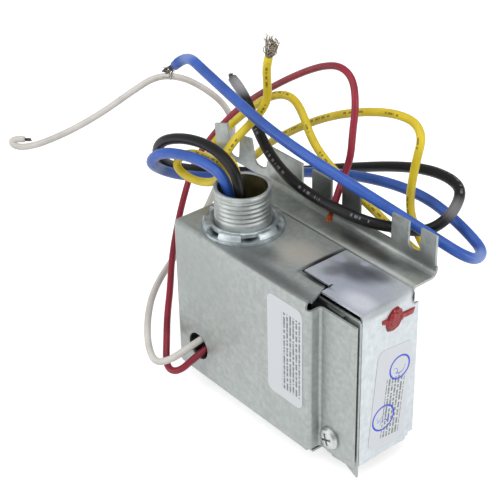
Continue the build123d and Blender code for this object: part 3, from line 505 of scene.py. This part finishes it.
def plainFinish(name):
    # two close tones in soft clouds and a fine relief of the stated size
    light, dark, metallic, rough, size, depth = plainLooks[name]
    material, tree, shader = newMaterial(name, {"Metallic": metallic, "Roughness": rough})
    place = addNode(tree, "ShaderNodeTexCoord").outputs["Object"]
    cloud = addNode(tree, "ShaderNodeTexNoise", {"Scale": 1 / (size * mm), "Detail": 3.0},
                    {"Vector": place})
    tone = addNode(tree, "ShaderNodeMapRange", {1: 0.32, 2: 0.66}, {0: cloud.outputs[0]})
    base = addNode(tree, "ShaderNodeMix", {"data_type": "RGBA", 6: hexLinear(dark),
                                           7: hexLinear(light)}, {0: tone.outputs[0]})
    bump = addNode(tree, "ShaderNodeBump", {"Strength": 0.4, "Distance": depth * mm},
                   {"Height": cloud.outputs[0]})
    tree.links.new(base.outputs[2], shader.inputs["Base Color"])
    tree.links.new(bump.outputs[0], shader.inputs["Normal"])
    return material


materials = {}
for look in sheetLooks:
    materials[look] = zincSheet(look)
for look in zincLooks:
    materials[look] = platedZinc(look)
for look in vinylLooks:
    materials[look] = extrudedVinyl(look)
for look in labelLooks:
    materials[look] = labelPaper(look)
for look in plainLooks:
    materials[look] = plainFinish(look)
print("materials:", len(materials))

# a long lens looks down on the corner between the front wall and the relay's end
camera = bpy.data.cameras.new("studioCamera")
camera.lens = 103.67
camera.sensor_width = 36.0
camera.clip_start = 0.01
cameraObject = bpy.data.objects.new("studioCamera", camera)
cameraObject.location = (0.35191, -0.28477, 0.27334)
cameraObject.rotation_euler = [math.radians(turn) for turn in (57.8675, 1.0403, 50.0860)]
bpy.context.scene.collection.objects.link(cameraObject)
bpy.context.scene.camera = cameraObject

# material, slot and diameter over the insulation in mm of each lead
leadLooks = {
    "blue_lead": {"look": "blueVinyl", "slot": "blue_insulation", "mm": 4.1},
    "black_lead": {"look": "blackVinyl", "slot": "black_insulation", "mm": 4.1},
    "yellow_lead": {"look": "yellowVinyl", "slot": "yellow_insulation", "mm": 3.2},
    "yellow_arch_lead": {"look": "yellowVinyl", "slot": "yellow_insulation", "mm": 3.2},
    "red_lead": {"look": "redVinyl", "slot": "red_insulation", "mm": 2.7},
    "white_lead": {"look": "whiteVinyl", "slot": "white_insulation", "mm": 2.7},
}
# bare ends: strand count, radius of the bundle at its root, belly and tip, length, wire radius,
# turns of lay, share of loose wires, and how far those stray from the bundle
strandLooks = {
    "blue_lead": {"node": "blue_strands", "count": 26, "root": 0.85, "belly": 1.3, "tip": 2.1,
                  "mm": 7.2, "wire": 0.16, "lay": 0.12, "loose": 0.4, "stray": 2.0,
                  "look": "darkStrands", "slot": "tinned_copper"},
    "black_lead": {"node": "black_strands", "count": 18, "root": 0.9, "belly": 0.95, "tip": 1.0,
                   "mm": 2.9, "wire": 0.19, "lay": 0.05, "loose": 0.1, "stray": 0.3,
                   "look": "darkStrands", "slot": "tinned_copper"},
    "yellow_lead": {"node": "yellow_strands", "count": 44, "root": 0.95, "belly": 2.4, "tip": 2.5,
                    "mm": 9.2, "wire": 0.17, "lay": 0.2, "loose": 0.16, "stray": 1.6,
                    "look": "tinnedCopper", "slot": "tinned_copper"},
    "yellow_arch_lead": {"node": "yellow_arch_strands", "count": 20, "root": 0.8, "belly": 1.0,
                         "tip": 1.1, "mm": 6.6, "wire": 0.18, "lay": 0.25, "loose": 0.1,
                         "stray": 0.6, "look": "tinnedCopper", "slot": "tinned_copper"},
    "red_lead": {"node": "red_strands", "count": 16, "root": 0.55, "belly": 1.1, "tip": 1.3,
                 "mm": 4.7, "wire": 0.17, "lay": 0.15, "loose": 0.12, "stray": 0.5,
                 "look": "bareCopper", "slot": "copper"},
    "white_lead": {"node": "white_strands", "count": 9, "root": 0.45, "belly": 0.6, "tip": 0.7,
                   "mm": 3.6, "wire": 0.16, "lay": 0.25, "loose": 0.1, "stray": 0.3,
                   "look": "darkStrands", "slot": "tinned_copper"},
}
# control points in mm, from the terminal or coil inside the housing to the free end
routes = {
    "blue_lead": [
        (40.9, -3.4, -20), (30, -3.6, -20.6), (17, -3.6, -20.8), (5, -3.5, -18.5),
        (-2, -3.5, -11), (-3.2, -3.3, 0), (-2.9, -3.2, 11), (-5.5, -4.4, 20.1),
        (-14.6, -5, 21.8), (-25.4, -5.9, 21), (-39.9, -7.2, 17), (-48.4, -7.1, 8.7),
        (-50.5, 2.5, 0.4), (-52.9, 15.9, -7.6), (-49.7, 31.7, -12.6), (-41.1, 44.1, -12.5),
        (-26.8, 50, -7.4), (-10.1, 51.9, -1.6), (7.8, 53, 3.8), (24.1, 54.9, 6.3), (38, 56.6, 6),
        (49.8, 56.2, 4.1), (59.2, 55.7, 1.4), (69, 53.8, -1.3), (71.6, 47.7, -1.3),
        (69.2, 42.3, 1.9), (60.5, 39, 5.5), (46.4, 34.5, 10.8), (30.6, 24.8, 20.6),
        (9.8, 19.1, 27.4), (-10.6, 18.5, 31.1), (-31.6, 19.7, 35.7), (-46.9, 20, 39.8),
        (-58.6, 21, 42.2), (-63.4, 18.6, 36.2),
    ],
    "black_lead": [
        (40.9, -3, -14), (30, -3.2, -14.6), (18, -3, -14.6), (8.5, -3, -11.5), (3, -3, -4),
        (2.5, -3, 4), (3, -3, 12), (0.2, -2.6, 22), (-8.6, -2.2, 26.7), (-20.3, -1.6, 26.7),
        (-34.4, -1.6, 23.3), (-45.9, -2.7, 17.7), (-52, -0.6, 8.4), (-56.4, 8.4, -1.5),
        (-59.7, 23.6, -10.3), (-58.3, 38.6, -15.7), (-51.9, 50, -17.8), (-41.3, 57.3, -15.9),
        (-25.2, 60.9, -9.6), (-5.7, 61.7, -0.9), (13.9, 62.3, 7.5), (29.9, 62.9, 12.8),
        (43.6, 61.6, 15.4), (52.6, 59, 14.8), (56.7, 51.2, 11.3), (55.4, 45.2, 6.8),
        (51, 40.4, 3.8), (45.8, 32.7, 6.4), (40.3, 25.1, 8.9), (28.9, 20.7, 11),
        (14.6, 19.1, 12), (0.3, 20.1, 13.8), (-13.7, 23.3, 17.3), (-27.2, 28, 23.7),
        (-37, 32.3, 28.8), (-45.6, 33.2, 32.7),
    ],
    "yellow_lead": [
        (40.9, 3, -14), (30, 3.3, -14.8), (16, 2.4, -14.6), (5, 1.6, -13), (-2, 1.6, -8.5),
        (-6, 1, -1.5), (-6.6, 0.4, 5.5), (-6.8, -0.2, 12), (-7.4, -0.8, 18.4), (-13, 0.1, 20.8),
        (-22, 2.1, 17.4), (-29.7, 2, 17.5), (-37.9, 1, 13.5), (-39.9, -0.4, 8.9),
        (-37, 1.3, 5.1), (-29.9, 3.4, 4), (-18.1, 3.4, 9.2), (-16.5, 3.2, 18.4),
        (-19.6, 12.6, 23.2), (-19.4, 23, 28.7), (-16.6, 26.6, 35.6), (-14.4, 24.4, 45.7),
        (-12.4, 22.5, 52.5), (-10.4, 22.1, 57.3),
    ],
    "yellow_arch_lead": [
        (40.9, 3.4, -20), (30, 3.7, -20.8), (17.5, 5, -20.9), (6, 7.5, -18), (-1, 8, -11),
        (-2.8, 5.2, -3), (-3, 2.8, 4.5), (-3.3, 1, 12), (-6.1, 2.4, 18.7), (-14, 5.6, 20.3),
        (-26.3, 13.5, 10.7), (-35.2, 16.2, 8.5), (-47.2, 21, 1.9), (-55.4, 27.9, 0),
        (-55.8, 38.9, 6), (-49.2, 41, 13.1), (-38.3, 41.9, 23.1), (-28.6, 42.8, 29.1),
        (-19.7, 42.2, 30.6), (-12.4, 40.3, 27.2), (-6.9, 38.9, 20.9), (0.8, 37, 17),
        (10.9, 36, 13), (23.3, 34.9, 9.7), (35.2, 34.7, 6.2), (44.8, 36.7, 0),
        (50.1, 40.8, -6.1), (47.6, 47.7, -9.2), (40.7, 49.3, -4.9), (38.1, 48.1, 3),
        (37.8, 47.7, 10.3), (39.9, 46.6, 19.8), (41.8, 46.3, 28.5), (43.2, 46.9, 36.8),
        (36.8, 49.5, 39.7), (25.6, 49.7, 38.7), (11.5, 50, 33.9), (-4.7, 50.7, 26.3),
        (-19.2, 50.5, 17.7), (-33.9, 49.9, 7), (-45.1, 49.8, -1.9), (-51.7, 48.9, -9.8),
    ],
    "red_lead": [
        (3.5, 2.5, -51.5), (0.5, -2.5, -51), (-3.5, -7.5, -50.5), (-5, -13, -50.3),
        (-5.4, -21, -53.2), (-8, -27.5, -58.5), (-13.5, -29, -58.5), (-20, -23.5, -52.5),
        (-29, -16, -47.5), (-38, -7.5, -44), (-49, 2, -38), (-60, 14, -31), (-69, 25, -25),
        (-73.3, 34.1, -15), (-71.3, 41.4, -6.2), (-66.1, 44.5, 1.7), (-58.2, 46.3, 10.7),
        (-47, 47.1, 20.3), (-33, 46.7, 30.9), (-18.7, 45.9, 40.6), (-5.2, 44.1, 48.5),
        (5.6, 42.6, 52.5), (13.6, 41.2, 50.6), (18.5, 38, 43.1), (19.8, 35.4, 33.3),
        (20.4, 34.1, 23.8), (18.5, 32.2, 15), (22, 25.4, 10), (23.4, 22.2, 6.9),
    ],
    "white_lead": [
        (3.5, 0.5, -47.8), (-0.5, -3.6, -47.4), (-5, -8, -47), (-7, -13, -47), (-7.5, -22, -49),
        (-9, -30, -52), (-14, -34, -54), (-22, -31, -51), (-30, -25, -47), (-39, -16, -44),
        (-49, -3, -44), (-56, 12, -41), (-60, 26, -35), (-64, 38, -25), (-67, 48, -13),
        (-69, 52, -2), (-71.5, 49, 7), (-75.5, 42, 15), (-80, 34, 21), (-85, 25, 22.5),
        (-89, 15, 17), (-95, 4, 9), (-102, -7, 2), (-109, -17, -3), (-113.6, -22.8, -4.8),
        (-116.6, -26, -4.3), (-118.2, -26.4, -2.6), (-117, -24.4, -1.5), (-114.6, -21.9, -1.8),
    ],
}


def smoothPath(name):
    # one open NURBS spline through the housing's mouth, evaluated by Blender into a plain path
    curve = bpy.data.curves.new(name + "Path", "CURVE")
    curve.dimensions = "3D"
    spline = curve.splines.new("NURBS")
    spline.points.add(len(routes[name]) - 1)
    control = np.ones((len(routes[name]), 4))
    control[:, :3] = np.array(routes[name]) * mm
    spline.points.foreach_set("co", control.reshape(-1))
    spline.order_u = 3
    spline.use_endpoint_u = True
    spline.resolution_u = 6
    holder = bpy.data.objects.new(name + "Path", curve)
    line = bpy.data.meshes.new_from_object(holder)
    path = np.zeros(len(line.vertices) * 3)
    line.vertices.foreach_get("co", path)
    bpy.data.objects.remove(holder)
    bpy.data.meshes.remove(line)
    return path.reshape(-1, 3)


# uneven and wave are shares of the length and of the radius, seated is how far in mm a strand
# starts inside the lead, bellyAt the place of the belly, thin the wire of a loose one
strandWander = {"uneven": 0.28, "wave": 0.18, "seated": 0.6, "bellyAt": 0.45, "thin": 0.55,
                "points": 10, "sides": 5}


def strandMesh(name, start, axis):
    # strand n keeps its share of the bundle's radius, which swells from root to belly to tip, and
    # turns by the lay; a loose one leaves the bundle with the square of the way along it
    s, w = strandLooks[name], strandWander
    axis = axis / np.linalg.norm(axis)
    side = np.cross(axis, [0.2, 0.5, 0.8])
    side /= np.linalg.norm(side)
    up = np.cross(axis, side)
    joined = bmesh.new()
    t = np.linspace(0, 1, w["points"])
    bundle = np.interp(t, [0, w["bellyAt"], 1], [s["root"], s["belly"], s["tip"]])
    for n in range(s["count"]):
        share = math.sqrt((n + 0.5) / s["count"])
        chance = (n * 0.618) % 1
        loose = (n * 0.383 + 0.2) % 1 < s["loose"]
        reach = s["mm"] * (1 - w["uneven"] * chance) * mm
        angle = 2.4 * n + 2 * math.pi * s["lay"] * t + 0.5 * np.sin((5 + 4 * chance) * t + n) * t
        radius = bundle * share * (1 + w["wave"] * np.sin(9 * t + 2 * n) * t) * mm
        if loose:
            radius = radius + s["stray"] * (t ** 2) * mm
        path = (start + axis * (t * reach - w["seated"] * mm)[:, None]
                + side * (radius * np.cos(angle))[:, None]
                + up * (radius * np.sin(angle))[:, None])
        wire = np.full(len(t), s["wire"] * (w["thin"] if loose else 1.0) * mm)
        one = gridMesh("strand", tubeGrid(path, wire, w["sides"]))
        joined.from_mesh(one)
        bpy.data.meshes.remove(one)
    mesh = bpy.data.meshes.new(name + "Strands")
    joined.to_mesh(mesh)
    joined.free()
    mesh.polygons.foreach_set("use_smooth", [True] * len(mesh.polygons))
    return mesh


leadSides = 20
cutRadius = 0.9
for name, s in leadLooks.items():
    path = smoothPath(name)
    steps = np.linalg.norm(np.diff(path, axis=0), axis=1)
    distance = np.concatenate([[0.0], np.cumsum(steps)])
    radius = np.full(len(path), s["mm"] / 2 * mm)
    # the cut end is a flat face with a slightly drawn-in edge
    radius[-1] *= cutRadius
    mesh = gridMesh(name + "Vinyl", tubeGrid(path, radius, leadSides), uvScale=distance)
    tube = addPiece(name + "Vinyl", mesh, materials[s["look"]], "housing", [name])
    e = strandLooks[name]
    strands = addPiece(name + "Strands", strandMesh(name, path[-1], path[-1] - path[-3]),
                       materials[e["look"]], "housing", [e["node"]])

# radii and heights in mm; the thread runs out over these lengths at its top and its foot
nippleLook = {"outer": 10.65, "root": 10.25, "bore": 9.2, "rim": 16.7, "pitch": 25.4 / 14,
              "start": 5.0, "end": 15.1, "runOut": (0.5, 1.2), "collar": 12.85, "foot": -2.0,
              "steps": 96, "rows": 14}


def nippleMesh():
    # rows go down the outside and up the bore; the outside's radius swings between crest and
    # root once a pitch and the swing turns with the angle, so that the ridges form one helix
    s = nippleLook
    turn = np.linspace(0, 2 * np.pi, s["steps"], endpoint=False)
    rows = int((s["end"] - s["start"]) / s["pitch"] * s["rows"])
    thread = np.linspace(s["end"], s["start"], rows)
    top, low = s["runOut"]
    fade = np.clip(np.minimum((s["end"] - thread) / top, (thread - s["start"]) / low), 0, 1)
    phase = 2 * np.pi * thread[:, None] / s["pitch"] - turn[None, :]
    ridge = 0.5 + 0.5 * np.cos(phase)
    depth = (s["outer"] - s["root"]) * fade[:, None] * (1 - ridge)
    outside = np.stack([s["outer"] - depth, np.repeat(thread[:, None], s["steps"], 1)], -1)

    def hoop(radius, height):
        return np.tile(np.array([radius, height]), (1, s["steps"], 1))

    rim = [hoop(s["bore"], s["foot"] + 0.05), hoop(s["bore"], s["rim"] - 0.45),
           hoop(s["bore"] + 0.1, s["rim"] - 0.12), hoop(s["bore"] + 0.3, s["rim"]),
           hoop(s["outer"] - 0.4, s["rim"]), hoop(s["outer"] - 0.12, s["rim"] - 0.2)]
    foot = [hoop(s["outer"], s["start"] - 0.3), hoop(s["outer"], -0.98),
            hoop(s["collar"], -1.0), hoop(s["collar"], s["foot"] + 0.1),
            hoop(s["bore"] + 0.1, s["foot"])]
    profile = np.concatenate(rim + [outside] + foot)
    grid = np.stack([profile[..., 0] * np.cos(turn), profile[..., 0] * np.sin(turn),
                     profile[..., 1]], -1) * mm
    closed = np.concatenate([grid, grid[:1]])
    return gridMesh("nippleThread", closed, capEnds=False)


nipple = addPiece("nippleThread", nippleMesh(), materials["threadZinc"], "housing",
                  ["conduit_nipple"])
# the bore is the first ring of faces and gets a darker, olive copy of the zinc: painted shade
# inside the bore
nipple.data.materials.append(materials["shadedBoreZinc"])
for face in list(nipple.data.polygons)[:nippleLook["steps"]]:
    face.material_index = 1
print("nipple faces", len(nipple.data.polygons))

# sheet metal, nut and screw get broken edges; the last number is the bevel's width in mm
for node, look, slotName, edge in [
        ("can_cover", "coverSheet", "galvanised", 0.10),
        ("rear_bracket", "bracketSheet", "galvanised", 0.12),
        ("relay_housing", "frameSheet", "bright_zinc", 0.14),
        ("relay_front_plate", "frontPlateSheet", "bright_zinc", 0.12)]:
    softCopy(node, "housing", materials[look], edge)
softCopy("locknut", "locknut", materials["stampedZinc"], 0.22)
softCopy("cover_screw", "cover_screw", materials["screwZinc"], 0.12)
print("edges broken on sheet metal, locknut and cover screw")

# the relay's end face lies under the CAD's label, which is 0.15 mm thick
frameEnd = max(corner[0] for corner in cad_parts["end_label"].bound_box) - 0.15 * mm
# middle and size as (y, z) in mm, turn in degrees; the front face is drawn in a little
labelShape = {"middle": (6.3, -40.0), "size": (17.2, 41.6), "corner": 3.2, "turn": -5.5,
              "lift": 0.02, "thick": 0.15, "inset": 0.996, "arc": 6}


def labelMesh():
    # outline as (y, z) round the four corner arcs, then three rings: back, front, front inset
    s = labelShape
    half = np.array(s["size"]) / 2 - s["corner"]
    outline = []
    for quarter, signs in enumerate([(1, 1), (-1, 1), (-1, -1), (1, -1)]):
        for step in range(s["arc"] + 1):
            a = (quarter + step / s["arc"]) * math.pi / 2
            outline.append((signs[0] * half[0] + s["corner"] * math.cos(a),
                            signs[1] * half[1] + s["corner"] * math.sin(a)))
    outline = np.array(outline)
    a = math.radians(s["turn"])
    turned = outline @ np.array([[math.cos(a), math.sin(a)], [-math.sin(a), math.cos(a)]])
    rings = [np.column_stack([np.full(len(turned), depth), turned * inset + s["middle"]])
             for depth, inset in [(s["lift"], 1.0), (s["thick"] * 0.7, 1.0),
                                  (s["thick"], s["inset"])]]
    return gridMesh("endLabel", np.stack(rings) * mm + [frameEnd, 0, 0], smooth=False)


addPiece("endLabelPaper", labelMesh(), materials["endLabelPaper"], "housing",
         ["end_label"])

# in mm, lean in degrees; a tail has a direction in degrees, the distance of its end and its half
# width; the groove has its place and width as shares of the oval, and its depth
varnishLook = {"middle": (6.5, -7.4), "long": 4.7, "short": 3.6, "lean": 64.0, "thick": 1.2,
               "tails": [(-4.0, 9.8, 1.2), (172.0, 5.6, 0.9)], "groove": (0.66, 0.09, 0.5),
               "lift": 0.02, "points": 240}


def varnishMesh():
    # a leaning oval drop; its outline runs out into straight-sided tails, its face is a dome
    # with a groove where the drop sat back, and the rim is wavy as brushed varnish is
    s = varnishLook
    a = np.linspace(0, 2 * np.pi, s["points"], endpoint=False)
    lean = a - math.radians(s["lean"])
    oval = 1 / np.sqrt((np.cos(lean) / s["long"]) ** 2 + (np.sin(lean) / s["short"]) ** 2)
    edge = oval
    for direction, reach, half in s["tails"]:
        off = a - math.radians(direction)
        strip = half / np.maximum(np.abs(np.sin(off)), half / reach)
        edge = np.maximum(edge, np.where(np.cos(off) > 0, strip, 0))
    edge = edge * (1 + 0.025 * np.sin(5 * a) + 0.02 * np.sin(11 * a + 1))
    share = np.array([1.0, 1.0, 0.98, 0.93, 0.86, 0.78, 0.7, 0.62, 0.54, 0.46, 0.36, 0.22,
                      0.08])[:, None]
    radius = share * edge
    inner = np.clip(1.15 - (radius / oval / 1.3) ** 4, 0.45, 1)
    height = s["thick"] * inner * (0.25 + 0.75 * (1 - share ** 8))
    place, width, depth = s["groove"]
    height = height - depth * np.exp(-((radius / oval - place) / width) ** 2)
    height = height * (1 + 0.06 * np.sin(2.2 * radius + 2 * a))
    height[0] = s["lift"]
    grid = np.stack([np.clip(height, s["lift"], s["thick"] * 0.98),
                     s["middle"][0] + radius * np.cos(a), s["middle"][1] + radius * np.sin(a)], -1)
    return gridMesh("varnishDrop", grid * mm + [frameEnd, 0, 0])


addPiece("varnishDrop", varnishMesh(), materials["sealingVarnish"], "housing",
         ["sealing_varnish"])
print("end label and varnish made")

# these nodes keep the CAD's mesh and only get a material
plainPieces = {
    "adjusting_screw": "stampedBrass", "front_label": "frontLabelPaper",
    "transformer_core": "siliconSteel", "transformer_bobbin": "mouldedNylon",
    "primary_winding": "woundWire", "secondary_winding": "woundWire",
    "transformer_strap": "bracketSheet", "relay_base": "mouldedPhenolic",
    "fixed_contact": "silverContact", "blade_block": "mouldedPhenolic",
    "bimetal_block": "mouldedPhenolic", "contact_blade": "springBronze",
    "moving_contact": "silverContact", "bimetal_strip": "rolledBimetal",
    "heater_card": "micaCard", "pusher_pin": "steatite", "blue_terminal": "stampedBrass",
    "black_terminal": "stampedBrass", "yellow_terminal": "stampedBrass",
    "yellow_arch_terminal": "stampedBrass",
}
for node, look in plainPieces.items():
    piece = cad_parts[node]
    piece.data.materials.clear()
    piece.data.materials.append(materials[look])
print("plain pieces dressed:", len(plainPieces))

scene = bpy.context.scene
scene.view_settings.view_transform = "Standard"
# half width and height in metres, grey level and strength of the glow
floorLook = {"half": 3, "height": -0.0705, "tone": 0.72, "glow": 0.6}
floor = bpy.data.meshes.new("studioFloor")
floor.from_pydata([(x * floorLook["half"], y * floorLook["half"], floorLook["height"])
                   for x, y in ((-1, -1), (1, -1), (1, 1), (-1, 1))], [], [(0, 1, 2, 3)])
floorPiece = bpy.data.objects.new("studioFloor", floor)
scene.collection.objects.link(floorPiece)
floorWhite, floorTree, floorShader = newMaterial("studioWhite", {"Roughness": 0.9})
floorShader.inputs["Base Color"].default_value = [floorLook["tone"]] * 3 + [1.0]
floorShader.inputs["Emission Color"].default_value = (1.0, 1.0, 1.0, 1.0)
# seen straight or mirrored in metal the floor also glows, so it stays white and keeps a soft
# shadow
floorRay = addNode(floorTree, "ShaderNodeLightPath")
seenBy = addNode(floorTree, "ShaderNodeMath", {"operation": "MAXIMUM"},
                 {0: floorRay.outputs["Is Camera Ray"], 1: floorRay.outputs["Is Glossy Ray"]})
glow = addNode(floorTree, "ShaderNodeMath", {"operation": "MULTIPLY", 1: floorLook["glow"]},
               {0: seenBy.outputs[0]})
floorTree.links.new(glow.outputs[0], floorShader.inputs["Emission Strength"])
floor.materials.append(floorWhite)

world = bpy.data.worlds.new("whiteStudio")
scene.world = world
world.use_nodes = True
worldTree = world.node_tree
worldTree.nodes.clear()
# the camera sees a white studio, the object is lit by a softer one
ray = addNode(worldTree, "ShaderNodeLightPath")
soft = addNode(worldTree, "ShaderNodeBackground", {"Color": (1, 1, 1, 1), "Strength": 0.55})
seen = addNode(worldTree, "ShaderNodeBackground", {"Color": (1, 1, 1, 1), "Strength": 1.0})
pick = addNode(worldTree, "ShaderNodeMixShader", {}, {0: ray.outputs["Is Camera Ray"],
                                                      1: soft.outputs[0], 2: seen.outputs[0]})
addNode(worldTree, "ShaderNodeOutputWorld", links={"Surface": pick.outputs[0]})


def addLamp(name, place, aim, size, watts):
    # square lamp; yaw and pitch turn its -Z, the way it shines, from its place to the aim
    lamp = bpy.data.lights.new(name, "AREA")
    lamp.size = size
    lamp.energy = watts
    holder = bpy.data.objects.new(name, lamp)
    holder.location = place
    scene.collection.objects.link(holder)
    toward = np.array(aim) - np.array(place)
    yaw = math.atan2(toward[1], toward[0]) - math.pi / 2
    pitch = math.atan2(-toward[2], math.hypot(toward[0], toward[1]))
    holder.rotation_euler = (math.pi / 2 - pitch, 0.0, yaw)


aimPoint = (0.0, 0.01, -0.02)
addLamp("overhead", (0.1, -0.15, 0.75), aimPoint, 0.7, 2.2)
addLamp("frontLeft", (-0.25, -0.8, 0.35), aimPoint, 0.6, 2.6)
addLamp("right", (0.8, 0.15, 0.3), aimPoint, 0.5, 2.4)
print("stage and light set")
